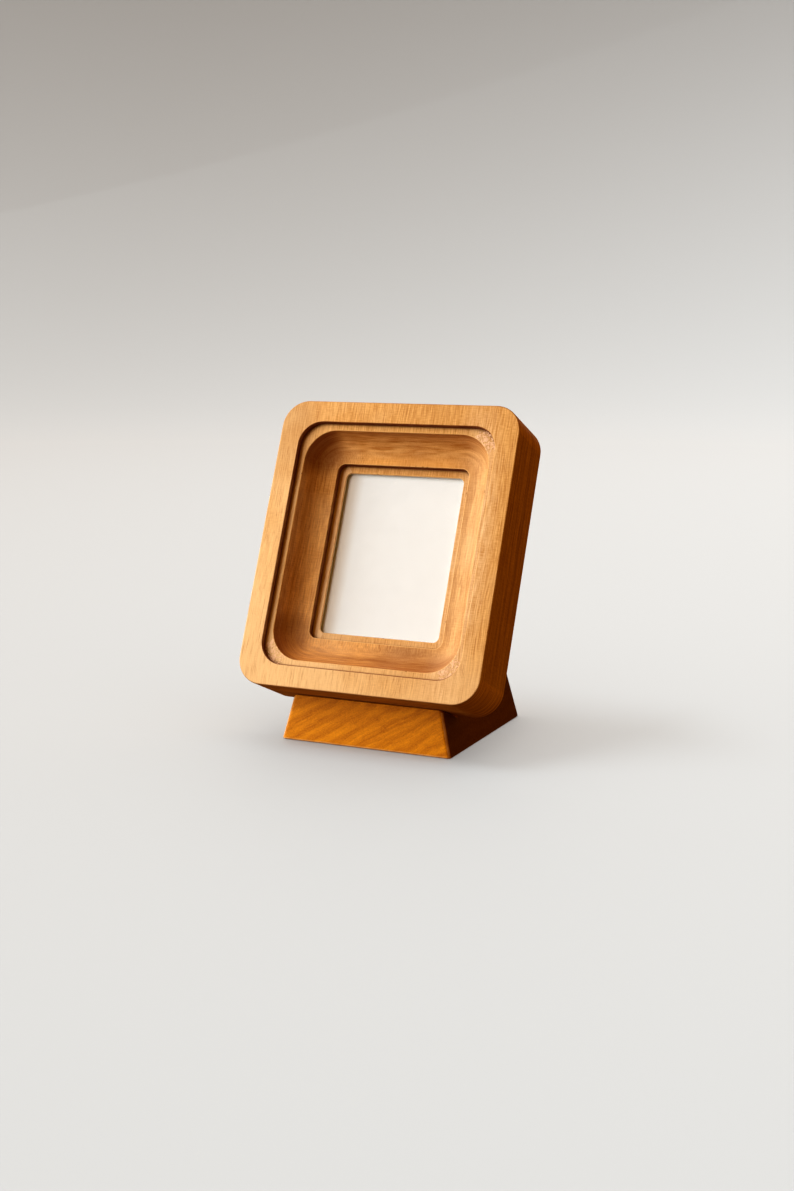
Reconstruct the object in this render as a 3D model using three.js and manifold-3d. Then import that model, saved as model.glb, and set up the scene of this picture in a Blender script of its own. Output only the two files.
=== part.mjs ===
// A small wooden picture frame that leans back in the seat of a tapered wooden block.
// The frame is one milled board: a flat rim, a shallow pocket, a cove and a stepped sight edge in front,
// and a rabbet with a wider recess behind, where turn buttons hold the glazing, the print and the backing.
// Millimetres, +Z up, the picture faces -Y, and the origin is the centre of the block's underside.
import * as THREE from "three";
import { mergeVertices } from "three/addons/utils/BufferGeometryUtils.js";
import Module from "manifold-3d";

const wasm = await Module();
wasm.setup();

// Outside of the frame board
const FRAME_WIDTH = 102;
const FRAME_HEIGHT = 117;
const FRAME_CORNER_RADIUS = 10.7;
const FRAME_EDGE_ROUND = 0.45;
const LEAN_DEG = 22.8;

// Moulding in front, from the rim to the sight edge
const RIM_WIDTH = 8.75;
const POCKET_DEPTH = 2.5;
const POCKET_CORNER_RADIUS = 9.6;
const LEDGE_WIDTH = 2.65;
const COVE_WIDTH = 11;
const COVE_DEPTH = 9.1;
const COVE_OUTER_RADIUS = 12.8;
const COVE_INNER_RADIUS = 3.3;
const STEP_DEPTH = 2.9;
const SIGHT_LEDGE = 2.95;
const SIGHT_CORNER_RADIUS = 2.3;
const SIGHT_LIP = 1;
const CREST_EASE = 0.3;

// Picture pack and the rabbet that holds it
const GLAZING_THICKNESS = 0.5;
const PRINT_THICKNESS = 1.3;
const BACKING_THICKNESS = 3;
const LAYER_GAP = 0.15;
const RABBET_LAP = 3.2;
const RABBET_CORNER_RADIUS = 3.2;
const PACK_PLAY = 0.3;
const BACK_RECESS_DEPTH = 6.1;
const RECESS_SHELF = 9;
const RECESS_CORNER_RADIUS = 6;

// Turn buttons and their screws
const BUTTON_SPACING = 40;
const BUTTON_THICKNESS = 1.2;
const BUTTON_REACH = 6.9;
const BUTTON_TIP_RADIUS = 2.3;
const BUTTON_WALL_GAP = 0.9;
const BUTTON_EDGE = 0.2;
const SCREW_SHANK_DIAMETER = 2.4;
const SCREW_LENGTH = 8;
const SCREW_HEAD_DIAMETER = 5.4;
const SCREW_HEAD_HEIGHT = 1.7;
const SCREW_POINT = 2.2;
const HOLE_CLEARANCE = 0.2;

// Block that carries the frame
const BLOCK_WIDTH = 73;
const BLOCK_DEPTH = 76.6;
const BLOCK_SIDE_TAPER_DEG = 14;
const BLOCK_END_TAPER_DEG = 6.8;
const BLOCK_FRONT_CORNER_RADIUS = 1.3;
const BLOCK_BACK_CORNER_RADIUS = 3.5;
const BLOCK_EDGE_ROUND = 1;
const SEAT_FRONT_HEIGHT = 18.3;
const SEAT_LENGTH = 12.9;
const SEAT_WALL_HEIGHT = 11.5;
const GLUE_GAP = 0.3;

// Dowels between the back of the frame and the wall of the seat
const DOWEL_DIAMETER = 6;
const DOWEL_BITE = 12;
const DOWEL_SPACING = 36;
const DOWEL_CHAMFER = 0.8;

// Fineness of the round forms
const CORNER_STEPS = 8;
const COVE_STEPS = 8;
const EDGE_STEPS = 3;
const ROUND_SIDES = 20;

// Depths are measured from the front face of the frame towards its back, heights from its lower edge.
const ledgeInset = RIM_WIDTH + LEDGE_WIDTH;
const coveInset = ledgeInset + COVE_WIDTH;
const sightInset = coveInset + SIGHT_LEDGE;
const coveDepth = POCKET_DEPTH + COVE_DEPTH;
const stepDepth = coveDepth + STEP_DEPTH;
const rabbetDepth = stepDepth + SIGHT_LIP;
const glazingDepth = rabbetDepth + LAYER_GAP;
const printDepth = glazingDepth + GLAZING_THICKNESS + LAYER_GAP;
const backingDepth = printDepth + PRINT_THICKNESS + LAYER_GAP;
const recessDepth = backingDepth + BACKING_THICKNESS + LAYER_GAP;
const frameThickness = recessDepth + BACK_RECESS_DEPTH;
const rabbetInset = sightInset - RABBET_LAP;
const recessInset = rabbetInset - RECESS_SHELF;
const lean = THREE.MathUtils.degToRad(LEAN_DEG);

const frameWood = new THREE.MeshStandardMaterial({ color: 0xc98d48, roughness: 0.55, metalness: 0 });
const blockWood = new THREE.MeshStandardMaterial({ color: 0xb8741f, roughness: 0.5, metalness: 0 });
const dowelWood = new THREE.MeshStandardMaterial({ color: 0xd9b98a, roughness: 0.7, metalness: 0 });
const acrylic = new THREE.MeshStandardMaterial({
  color: 0xffffff,
  roughness: 0.05,
  metalness: 0,
  transparent: true,
  opacity: 0.15,
});
const printPaper = new THREE.MeshStandardMaterial({ color: 0xf4f0e8, roughness: 0.8, metalness: 0 });
const hardboard = new THREE.MeshStandardMaterial({ color: 0x6f4a2c, roughness: 0.85, metalness: 0 });
const brass = new THREE.MeshStandardMaterial({ color: 0xb8923f, roughness: 0.35, metalness: 1 });

// Points of a rounded rectangle, counter-clockwise, with one radius at its low corners and one at its high ones.
function roundedRectangle(left, right, low, high, lowRadius, highRadius) {
  const corners = [
    [right - highRadius, high - highRadius, highRadius],
    [left + highRadius, high - highRadius, highRadius],
    [left + lowRadius, low + lowRadius, lowRadius],
    [right - lowRadius, low + lowRadius, lowRadius],
  ];
  return corners.flatMap(([x, y, radius], quarter) =>
    Array.from({ length: CORNER_STEPS + 1 }, (_, step) => {
      const angle = ((quarter + step / CORNER_STEPS) * Math.PI) / 2;
      return [x + radius * Math.cos(angle), y + radius * Math.sin(angle)];
    }),
  );
}

// Outline of the frame board moved in by an inset, with its own corner radius.
function frameOutline(inset, radius) {
  const half = FRAME_WIDTH / 2 - inset;
  return roundedRectangle(-half, half, inset, FRAME_HEIGHT - inset, radius, radius);
}

// Skin between loops with equal numbers of points. A closed skin runs on from the last loop to the first,
// and an open one ends in two flat caps.
function skin(loops, closed) {
  const count = loops[0].length;
  const index = [];
  const link = (from, to) => {
    for (let i = 0; i < count; i++) {
      const next = (i + 1) % count;
      index.push(from + i, from + next, to + next, from + i, to + next, to + i);
    }
  };
  loops.slice(1).forEach((_, i) => link(i * count, (i + 1) * count));
  const last = (loops.length - 1) * count;
  if (closed) {
    link(last, 0);
  } else {
    for (let i = 1; i < count - 1; i++) {
      index.push(0, i + 1, i, last, last + i, last + i + 1);
    }
  }
  const geometry = new THREE.BufferGeometry();
  geometry.setAttribute("position", new THREE.Float32BufferAttribute(loops.flat(2), 3));
  geometry.setIndex(index);
  return geometry;
}

function solidOf(geometry) {
  const bare = geometry.index ? geometry.toNonIndexed() : geometry.clone();
  bare.deleteAttribute("normal");
  bare.deleteAttribute("uv");
  const merged = mergeVertices(bare, 1e-4);
  const vertProperties = merged.attributes.position.array;
  const triVerts = new Uint32Array(merged.index.array);
  return new wasm.Manifold(new wasm.Mesh({ numProp: 3, vertProperties, triVerts }));
}

// The blank with every cutter taken out of it.
function cut(blank, cutters) {
  const rest = cutters.reduce((solid, cutter) => solid.subtract(solidOf(cutter)), solidOf(blank));
  const mesh = rest.getMesh();
  const geometry = new THREE.BufferGeometry();
  geometry.setAttribute("position", new THREE.BufferAttribute(mesh.vertProperties, 3));
  geometry.setIndex(new THREE.BufferAttribute(mesh.triVerts, 1));
  return geometry.toNonIndexed();
}

function named(name, geometry, material) {
  geometry.computeVertexNormals();
  const mesh = new THREE.Mesh(geometry, material);
  mesh.name = name;
  return mesh;
}

// Cylinder along Z whose near end is at z and which runs towards the front by its length.
function bore(diameter, x, y, z, length) {
  const geometry = new THREE.CylinderGeometry(diameter / 2, diameter / 2, length, ROUND_SIDES);
  return geometry.rotateX(Math.PI / 2).translate(x, y, z + length / 2);
}

// Quarter round of a profile from one end to the other, as [inset, depth] pairs. Its centre shares its inset
// with one end and its depth with the other.
function quarterRound(from, to, centreSharesInsetWith, steps) {
  const [a, b] = centreSharesInsetWith === "to" ? [from, to] : [to, from];
  const points = Array.from({ length: steps + 1 }, (_, step) => {
    const angle = ((step / steps) * Math.PI) / 2;
    return [b[0] + (a[0] - b[0]) * Math.cos(angle), a[1] + (b[1] - a[1]) * Math.sin(angle)];
  });
  return centreSharesInsetWith === "to" ? points : points.reverse();
}

// Section of the frame board as [inset, depth, corner radius], from the front outer edge inwards over the
// moulding, through the sight opening, and out again over the rabbet and recess to the back outer edge.
function frameSection() {
  const section = [];
  const add = (inset, depth, radius) => section.push([inset, depth, radius]);
  const round = FRAME_EDGE_ROUND;
  const outerRadius = (inset) => FRAME_CORNER_RADIUS - inset;
  quarterRound([0, round], [round, 0], "to", EDGE_STEPS).forEach(([inset, depth]) => {
    add(inset, depth, outerRadius(inset));
  });

  add(RIM_WIDTH - CREST_EASE, 0, POCKET_CORNER_RADIUS + CREST_EASE);
  add(RIM_WIDTH, CREST_EASE, POCKET_CORNER_RADIUS);
  add(RIM_WIDTH, POCKET_DEPTH, POCKET_CORNER_RADIUS);

  add(ledgeInset - CREST_EASE, POCKET_DEPTH, COVE_OUTER_RADIUS + CREST_EASE);
  const coveStart = [ledgeInset, POCKET_DEPTH + CREST_EASE];
  const coveEnd = [coveInset - CREST_EASE, coveDepth];
  quarterRound(coveStart, coveEnd, "to", COVE_STEPS).forEach(([inset, depth]) => {
    const share = (inset - coveStart[0]) / (coveEnd[0] - coveStart[0]);
    const radius = THREE.MathUtils.lerp(COVE_OUTER_RADIUS, COVE_INNER_RADIUS + CREST_EASE, share);
    add(inset, depth, radius);
  });

  add(coveInset, coveDepth + CREST_EASE, COVE_INNER_RADIUS);
  add(coveInset, stepDepth, COVE_INNER_RADIUS);
  add(sightInset - CREST_EASE, stepDepth, SIGHT_CORNER_RADIUS + CREST_EASE);
  add(sightInset, stepDepth + CREST_EASE, SIGHT_CORNER_RADIUS);
  add(sightInset, rabbetDepth, SIGHT_CORNER_RADIUS);

  add(rabbetInset, rabbetDepth, RABBET_CORNER_RADIUS);
  add(rabbetInset, recessDepth, RABBET_CORNER_RADIUS);
  add(recessInset, recessDepth, RECESS_CORNER_RADIUS);
  add(recessInset, frameThickness - CREST_EASE, RECESS_CORNER_RADIUS);
  add(recessInset - CREST_EASE, frameThickness, RECESS_CORNER_RADIUS + CREST_EASE);

  const backInner = [round, frameThickness];
  const backOuter = [0, frameThickness - round];
  quarterRound(backInner, backOuter, "from", EDGE_STEPS).forEach(([inset, depth]) => {
    add(inset, depth, outerRadius(inset));
  });
  return section;
}

// Places of the turn buttons on the shelf of the recess, with the side that each one points away from.
const buttonX = FRAME_WIDTH / 2 - rabbetInset + RECESS_SHELF / 2;
const buttonPlaces = ["upper", "lower"].flatMap((row) =>
  ["left", "right"].map((side) => ({
    name: `${row}_${side}`,
    x: side === "left" ? -buttonX : buttonX,
    y: FRAME_HEIGHT / 2 + (row === "upper" ? BUTTON_SPACING / 2 : -BUTTON_SPACING / 2),
    pointsRight: side === "left",
  })),
);
const buttonDepth = recessDepth + LAYER_GAP;
const headDepth = buttonDepth + BUTTON_THICKNESS + LAYER_GAP;
const pilotLength = SCREW_LENGTH - (headDepth - recessDepth) + HOLE_CLEARANCE;

// The dowels stand square to the back of the frame, half way up the wall of the seat.
const dowelY = SEAT_WALL_HEIGHT / 2;
const dowelPlaces = [
  { name: "left", x: -DOWEL_SPACING / 2 },
  { name: "right", x: DOWEL_SPACING / 2 },
];
const dowelLength = 2 * DOWEL_BITE + GLUE_GAP;
const dowelHole = DOWEL_DIAMETER + 2 * HOLE_CLEARANCE;
const dowelHoleLength = dowelLength + 2 * HOLE_CLEARANCE;
const dowelHoles = dowelPlaces.map(({ x }) =>
  bore(dowelHole, x, dowelY, -frameThickness - GLUE_GAP - DOWEL_BITE - HOLE_CLEARANCE, dowelHoleLength),
);

function frameBody() {
  const loops = frameSection().map(([inset, depth, radius]) =>
    frameOutline(inset, radius).map(([x, y]) => [x, y, -depth]),
  );
  const pilotHole = SCREW_SHANK_DIAMETER + 2 * HOLE_CLEARANCE;
  const pilotHoles = buttonPlaces.map(({ x, y }) =>
    bore(pilotHole, x, y, -recessDepth - HOLE_CLEARANCE, pilotLength + HOLE_CLEARANCE),
  );
  return named("frame_body", cut(skin(loops, true), [...dowelHoles, ...pilotHoles]), frameWood);
}

// Flat sheet in the rabbet, with play all round, whose front lies at a depth.
function packSheet(name, depth, thickness, material) {
  const outline = frameOutline(rabbetInset + PACK_PLAY, RABBET_CORNER_RADIUS - PACK_PLAY);
  const front = outline.map(([x, y]) => [x, y, -depth]);
  const back = outline.map(([x, y]) => [x, y, -depth - thickness]);
  return named(name, skin([back, front], false), material);
}

// Stamped plate: a round heel on the screw and a narrower round tip, joined by their common tangents.
function turnButton({ name, x, y, pointsRight }) {
  const heelRadius = RECESS_SHELF / 2 - BUTTON_WALL_GAP;
  const tangent = Math.acos((heelRadius - BUTTON_TIP_RADIUS) / BUTTON_REACH);
  const outline = new THREE.Shape();
  outline.absarc(0, 0, heelRadius, tangent, 2 * Math.PI - tangent, false);
  outline.absarc(BUTTON_REACH, 0, BUTTON_TIP_RADIUS, -tangent, tangent, false);
  const hole = new THREE.Path();
  hole.absarc(0, 0, SCREW_SHANK_DIAMETER / 2 + HOLE_CLEARANCE, 0, 2 * Math.PI, true);
  outline.holes.push(hole);
  const geometry = new THREE.ExtrudeGeometry(outline, {
    depth: BUTTON_THICKNESS - 2 * BUTTON_EDGE,
    bevelThickness: BUTTON_EDGE,
    bevelSize: BUTTON_EDGE,
    bevelOffset: -BUTTON_EDGE,
    bevelSegments: 1,
    curveSegments: ROUND_SIDES / 2,
  });
  const button = named(`turn_button_${name}`, geometry, brass);
  button.position.set(x, y, -buttonDepth - BUTTON_THICKNESS + BUTTON_EDGE);
  button.rotation.z = pointsRight ? 0 : Math.PI;
  return button;
}

// Round-headed wood screw, turned about its axis from its point to the crown of its head.
function buttonScrew({ name, x, y }) {
  const shank = SCREW_SHANK_DIAMETER / 2;
  const head = SCREW_HEAD_DIAMETER / 2;
  const crown = Array.from({ length: EDGE_STEPS + 2 }, (_, step) => {
    const angle = ((step / (EDGE_STEPS + 1)) * Math.PI) / 2;
    return new THREE.Vector2(head * Math.cos(angle), SCREW_HEAD_HEIGHT * Math.sin(angle));
  });
  crown.at(-1).x = 0;
  const profile = [
    new THREE.Vector2(0, -SCREW_LENGTH),
    new THREE.Vector2(shank, SCREW_POINT - SCREW_LENGTH),
    new THREE.Vector2(shank, 0),
    ...crown,
  ];
  const screw = named(`button_screw_${name}`, new THREE.LatheGeometry(profile, ROUND_SIDES), brass);
  screw.position.set(x, y, -headDepth);
  screw.rotation.x = -Math.PI / 2;
  return screw;
}

// Hardwood peg with chamfered ends, lying along the depth of the frame.
function dowel({ name, x }) {
  const radius = DOWEL_DIAMETER / 2;
  const half = dowelLength / 2;
  const profile = [
    [0, -half],
    [radius - DOWEL_CHAMFER, -half],
    [radius, DOWEL_CHAMFER - half],
    [radius, half - DOWEL_CHAMFER],
    [radius - DOWEL_CHAMFER, half],
    [0, half],
  ].map(([r, y]) => new THREE.Vector2(r, y));
  const peg = named(`dowel_${name}`, new THREE.LatheGeometry(profile, ROUND_SIDES), dowelWood);
  peg.position.set(x, dowelY, -frameThickness - GLUE_GAP / 2);
  peg.rotation.x = -Math.PI / 2;
  return peg;
}

// Everything that leans: local X to the right, Y up the face of the frame, Z out of its front.
const leaning = new THREE.Group();
leaning.add(
  frameBody(),
  packSheet("glazing_pane", glazingDepth, GLAZING_THICKNESS, acrylic),
  packSheet("picture_print", printDepth, PRINT_THICKNESS, printPaper),
  packSheet("backing_board", backingDepth, BACKING_THICKNESS, hardboard),
  ...buttonPlaces.map(turnButton),
  ...buttonPlaces.map(buttonScrew),
  ...dowelPlaces.map(dowel),
);

// The seat starts at the top of the block's front face, slopes down towards the back and ends at a wall.
// The frame stands on it with its lower back edge in the corner.
const sideTaper = Math.tan(THREE.MathUtils.degToRad(BLOCK_SIDE_TAPER_DEG));
const endTaper = Math.tan(THREE.MathUtils.degToRad(BLOCK_END_TAPER_DEG));
const seatFrontY = -BLOCK_DEPTH / 2 + endTaper * SEAT_FRONT_HEIGHT;
const overhang = frameThickness + GLUE_GAP - SEAT_LENGTH;
const up = new THREE.Vector3(0, Math.sin(lean), Math.cos(lean));
const out = new THREE.Vector3(0, -Math.cos(lean), Math.sin(lean));
leaning.rotation.x = Math.PI / 2 - lean;
leaning.position
  .set(0, seatFrontY, SEAT_FRONT_HEIGHT)
  .addScaledVector(out, overhang)
  .addScaledVector(up, GLUE_GAP);
leaning.updateMatrix();

// Tapered block, cut away where the frame sits and drilled for the dowels.
function standBlock() {
  const wallTop = new THREE.Vector3(0, SEAT_WALL_HEIGHT, -frameThickness).applyMatrix4(leaning.matrix);
  const blockHeight = wallTop.z;
  const round = BLOCK_EDGE_ROUND;
  const outline = (z, inset) => {
    const half = BLOCK_WIDTH / 2 - sideTaper * z - inset;
    const end = BLOCK_DEPTH / 2 - endTaper * z - inset;
    const front = BLOCK_FRONT_CORNER_RADIUS;
    const back = BLOCK_BACK_CORNER_RADIUS;
    return roundedRectangle(-half, half, -end, end, front, back).map(([x, y]) => [x, y, z]);
  };
  const foot = quarterRound([round, 0], [0, round], "from", EDGE_STEPS).map(([inset, z]) => outline(z, inset));
  const brow = quarterRound([0, round], [round, 0], "to", EDGE_STEPS).map(([inset, fall]) =>
    outline(blockHeight - fall, inset),
  );
  const room = 2 * Math.max(FRAME_HEIGHT, FRAME_WIDTH);
  const seat = new THREE.BoxGeometry(room, room, room)
    .translate(0, room / 2 - GLUE_GAP, room / 2 - frameThickness - GLUE_GAP)
    .applyMatrix4(leaning.matrix);
  const holes = dowelHoles.map((hole) => hole.clone().applyMatrix4(leaning.matrix));
  return named("stand_block", cut(skin([...foot, ...brow], false), [seat, ...holes]), blockWood);
}

const pictureFrame = new THREE.Group();
pictureFrame.name = "picture_frame";
pictureFrame.add(standBlock(), leaning);

export default pictureFrame;
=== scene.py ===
import math

import bmesh
import bpy
from mathutils import Matrix, Vector


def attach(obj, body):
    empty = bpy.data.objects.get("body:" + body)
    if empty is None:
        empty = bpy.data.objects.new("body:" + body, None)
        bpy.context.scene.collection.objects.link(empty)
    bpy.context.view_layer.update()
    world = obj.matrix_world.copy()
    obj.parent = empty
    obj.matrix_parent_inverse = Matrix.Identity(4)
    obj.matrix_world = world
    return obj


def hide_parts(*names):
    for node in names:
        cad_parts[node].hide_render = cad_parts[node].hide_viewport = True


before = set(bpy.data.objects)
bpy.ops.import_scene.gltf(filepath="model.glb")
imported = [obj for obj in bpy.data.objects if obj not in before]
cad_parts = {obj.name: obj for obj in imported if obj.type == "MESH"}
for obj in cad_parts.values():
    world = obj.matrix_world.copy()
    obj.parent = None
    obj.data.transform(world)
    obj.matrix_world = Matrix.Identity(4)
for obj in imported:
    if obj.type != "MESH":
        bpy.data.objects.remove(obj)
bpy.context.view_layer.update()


# Stand block. A solid piece of amber hardwood, sawn to a taper on all four sides and oiled. A slanted notch
# carries the frame: its seat takes half of the frame's thickness and its wall backs the frame. The edges are
# eased by hand, and the oil has worn off those low in front.
lean = math.radians(22.8)
up = Vector((0, math.sin(lean), math.cos(lean)))
out = Vector((0, -math.cos(lean), math.sin(lean)))
board_foot = Vector((0, -0.049276, 0.024157))
board_thickness = 0.027
foot_width, foot_depth, block_height = 0.073, 0.0765, 0.024295
side_taper, end_taper = math.tan(math.radians(14)), math.tan(math.radians(6.8))
front_corner, back_corner, block_edge = 0.0018, 0.0035, 0.0008
notch_size, glue_gap = 0.2, 0.0003
worn_foot, worn_height, worn_share = 0.003, 0.016, 0.65


def pick(piece, kind, test):
    """In edit mode, selects only those vertices, edges or faces of the piece that pass the test."""
    bpy.ops.mesh.select_mode(type=kind)
    bpy.ops.mesh.select_all(action="DESELECT")
    mesh = bmesh.from_edit_mesh(piece.data)
    for part in {"VERT": mesh.verts, "EDGE": mesh.edges, "FACE": mesh.faces}[kind]:
        part.select_set(bool(test(part)))
    mesh.select_flush_mode()
    bmesh.update_edit_mesh(piece.data)


def cut_away(piece, tool):
    """Cuts the shape of the tool out of the piece and removes the tool."""
    bpy.context.view_layer.objects.active = piece
    cut = piece.modifiers.new("cut", "BOOLEAN")
    cut.object = tool
    cut.solver = "EXACT"
    bpy.ops.object.modifier_apply(modifier=cut.name)
    bpy.data.objects.remove(tool)


def smooth(piece, angle):
    """Shades the active piece smooth across edges below an angle, with its flat faces staying flat."""
    bpy.ops.object.shade_smooth_by_angle(angle=math.radians(angle))
    weights = piece.modifiers.new("flat_faces", "WEIGHTED_NORMAL")
    weights.keep_sharp = True
    bpy.ops.object.modifier_apply(modifier=weights.name)


def linear(colour):
    """An sRGB hex colour as linear RGBA."""
    channels = [int(colour[i : i + 2], 16) / 255 for i in (1, 3, 5)]
    return [c / 12.92 if c <= 0.04045 else ((c + 0.055) / 1.055) ** 2.4 for c in channels] + [1.0]


def new_material(name):
    """A material without any node."""
    material = bpy.data.materials.new(name)
    material.use_nodes = True
    material.node_tree.nodes.clear()
    return material


def node(material, kind, inputs, **settings):
    """Adds a shader node with its settings.

    An input is a value, an output, or a node, which stands for its first output in use.
    """
    tree = material.node_tree
    made = tree.nodes.new("ShaderNode" + kind)
    for name, value in settings.items():
        setattr(made, name, value)
    for socket, value in inputs.items():
        if isinstance(value, bpy.types.Node):
            value = next(result for result in value.outputs if result.enabled)
        if isinstance(value, bpy.types.NodeSocket):
            tree.links.new(value, made.inputs[socket])
        else:
            made.inputs[socket].default_value = value
    return made


bpy.ops.object.select_all(action="DESELECT")
bpy.ops.mesh.primitive_cube_add(size=1, location=(0, 0, block_height / 2))
block = bpy.context.object
block.name = "stand_block_timber"
block.scale = (foot_width, foot_depth, block_height)
bpy.ops.object.transform_apply(location=True, rotation=True, scale=True)
bpy.ops.object.mode_set(mode="EDIT")
pick(block, "FACE", lambda face: face.normal.z > 0.9)
bpy.ops.transform.resize(
    value=(
        1 - 2 * side_taper * block_height / foot_width,
        1 - 2 * end_taper * block_height / foot_depth,
        1,
    ),
    center_override=(0, 0, block_height),
)
for way, radius in ((-1, front_corner), (1, back_corner)):
    pick(
        block,
        "EDGE",
        lambda edge: abs(edge.verts[0].co.z - edge.verts[1].co.z) > block_height / 2
        and way * edge.verts[0].co.y > 0,
    )
    bpy.ops.mesh.bevel(offset=radius, segments=6)
bpy.ops.object.mode_set(mode="OBJECT")

bpy.ops.object.select_all(action="DESELECT")
bpy.ops.mesh.primitive_cube_add(size=notch_size)
notch = bpy.context.object
notch.rotation_euler.x = math.pi / 2 - lean
seat_offset = notch_size / 2 - glue_gap
wall_offset = notch_size / 2 - board_thickness - glue_gap
notch.location = board_foot + up * seat_offset + out * wall_offset
cut_away(block, notch)

block.select_set(True)
block.data.attributes.new("worn", "FLOAT", "FACE")
bpy.ops.object.mode_set(mode="EDIT")
bpy.ops.mesh.select_mode(type="EDGE")
bpy.ops.mesh.select_all(action="DESELECT")
bpy.ops.mesh.edges_select_sharp(sharpness=math.radians(40))
bpy.ops.mesh.bevel(offset=block_edge, segments=3)
shape = bmesh.from_edit_mesh(block.data)
worn = shape.faces.layers.float["worn"]
for face in shape.faces:
    middle = face.calc_center_median()
    on_foot = face.select and middle.z < worn_foot and face.normal.y < -0.2
    on_corner = middle.z < worn_height and face.normal.y < -0.3 and 0.5 < abs(face.normal.x) < 0.85
    face[worn] = worn_share * (on_foot or on_corner)
bpy.ops.object.mode_set(mode="OBJECT")
smooth(block, 35)

# Oiled amber hardwood: the saw ran at a slant to the fibres, so lighter ribbons cross the front from low on
# the left to high on the right, with short brown pores along them. The sawn ends at the sides drink more
# oil. In millimetres: ribbons 5 apart, streaks 0.9 wide and 20 long, specks 0.5 and worn spots 3 across, and
# pores 3 long. The pores are drawn 0.3 wide, coarser than real ones, so that they show.
amber = new_material("oiled_amber_hardwood")
slant = math.radians(33)
wave_gap = 0.314  # a wave texture of scale 1 has bands this far apart
place = node(amber, "TexCoord", {})
fibre_space = node(
    amber,
    "Mapping",
    {"Vector": place.outputs["Object"], "Rotation": (0, slant, 0), "Scale": (1000, 1000, 1000)},
)
drift = node(amber, "TexNoise", {"Vector": fibre_space, "Scale": 0.045, "Detail": 2})
drift_offset = node(
    amber,
    "VectorMath",
    {0: drift.outputs["Color"], 1: (5, 5, 5), 2: fibre_space},
    operation="MULTIPLY_ADD",
)
ribbon = node(
    amber,
    "TexWave",
    {
        "Vector": drift_offset,
        "Scale": wave_gap / 5,
        "Distortion": 3,
        "Detail": 4,
        "Detail Scale": 1.5,
        "Detail Roughness": 0.65,
    },
    wave_type="BANDS",
    bands_direction="Z",
)
streak_space = node(amber, "Mapping", {"Vector": drift_offset, "Scale": (0.05, 1.1, 1.1)})
streak = node(amber, "TexNoise", {"Vector": streak_space, "Scale": 1, "Detail": 1, "Roughness": 0.7})
streak_tone = node(amber, "MapRange", {"Value": streak, "From Min": 0.22, "From Max": 0.78})
pore_space = node(amber, "Mapping", {"Vector": fibre_space, "Scale": (0.3, 3.3, 3.3)})
pore = node(amber, "TexNoise", {"Vector": pore_space, "Scale": 1, "Detail": 2, "Roughness": 0.5})
pore_mask = node(amber, "MapRange", {"Value": pore, "From Min": 0.6, "From Max": 0.75, "To Max": 0.45})
ribbons = node(amber, "Mix", {"Factor": 0.65, 2: ribbon.outputs["Fac"], 3: streak_tone})
speckle = node(amber, "TexNoise", {"Vector": fibre_space, "Scale": 2, "Detail": 0})
figure = node(amber, "Mix", {"Factor": 0.4, 2: ribbons, 3: speckle})
tone = node(amber, "Mix", {"Factor": figure, 6: linear("#9E5604"), 7: linear("#EEA21C")}, data_type="RGBA")
with_pores = node(amber, "Mix", {"Factor": pore_mask, 6: tone, 7: linear("#8A4710")}, data_type="RGBA")
side_facing = node(
    amber, "VectorMath", {0: place.outputs["Normal"], 1: (0.95, 0, 0)}, operation="DOT_PRODUCT"
)
end_grain = node(amber, "Math", {0: side_facing, 1: side_facing}, operation="MULTIPLY")
with_ends = node(amber, "Mix", {"Factor": end_grain, 6: with_pores, 7: linear("#4A1E02")}, data_type="RGBA")
wear = node(amber, "Attribute", {}, attribute_name="worn")
wear_spots = node(amber, "TexNoise", {"Vector": fibre_space, "Scale": 0.35, "Detail": 3})
wear_mask = node(amber, "MapRange", {"Value": wear_spots, "From Min": 0.35, "From Max": 0.6, "To Min": 0.5})
wear_amount = node(amber, "Math", {0: wear.outputs["Fac"], 1: wear_mask}, operation="MULTIPLY")
amber_colour = node(
    amber, "Mix", {"Factor": wear_amount, 6: with_ends, 7: linear("#E8BA7C")}, data_type="RGBA"
)
amber_rough = node(
    amber, "MapRange", {"Value": streak, "From Min": 0.3, "From Max": 0.7, "To Min": 0.58, "To Max": 0.42}
)
amber_bump = node(amber, "Bump", {"Height": pore_mask, "Strength": 0.4, "Distance": 0.00005}, invert=True)
amber_shader = node(
    amber,
    "BsdfPrincipled",
    {
        "Base Color": amber_colour,
        "Roughness": amber_rough,
        "Normal": amber_bump,
        "IOR": 1.48,
        "Specular IOR Level": 0.12,
    },
)
node(amber, "OutputMaterial", {"Surface": amber_shader})
block.data.materials.append(amber)
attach(block, "frame")
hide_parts("stand_block")


# Frame board. One plank of honey-coloured hardwood with upright grain, milled all round: a flat rim, a step
# to a narrow ledge that widens at the corners, a cove, a second step and the sight edge. Behind are the
# rabbet for the picture and a wider recess. The outer edges are rounded over, and the board is oiled.
board_width, board_height = 0.102, 0.117
rim, ledge, cove, sight_ledge = 0.00875, 0.00265, 0.011, 0.00295
pocket_depth, cove_depth, step_depth, sight_lip = 0.0025, 0.0091, 0.0029, 0.001
rabbet_lap, recess_shelf, recess_depth = 0.0032, 0.009, 0.0209
crest, edge_round, corner_shade_reach, corner_shade_rise = 0.0003, 0.00048, 0.0011, 0.00001
outer_corner, face_corner, pocket_corner, ledge_corner = 0.0107, 0.0102, 0.0096, 0.0109
cove_corner, step_corner, corner_shade_loop_corner, sight_corner = 0.0128, 0.0033, 0.0031, 0.0023
recess_corner, rabbet_corner = 0.006, 0.0032
ledge_inset = rim + ledge
cove_inset = ledge_inset + cove
sight_inset = cove_inset + sight_ledge
cove_floor = pocket_depth + cove_depth
step_floor = cove_floor + step_depth
rabbet_floor = step_floor + sight_lip
rabbet_inset = sight_inset - rabbet_lap
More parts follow.
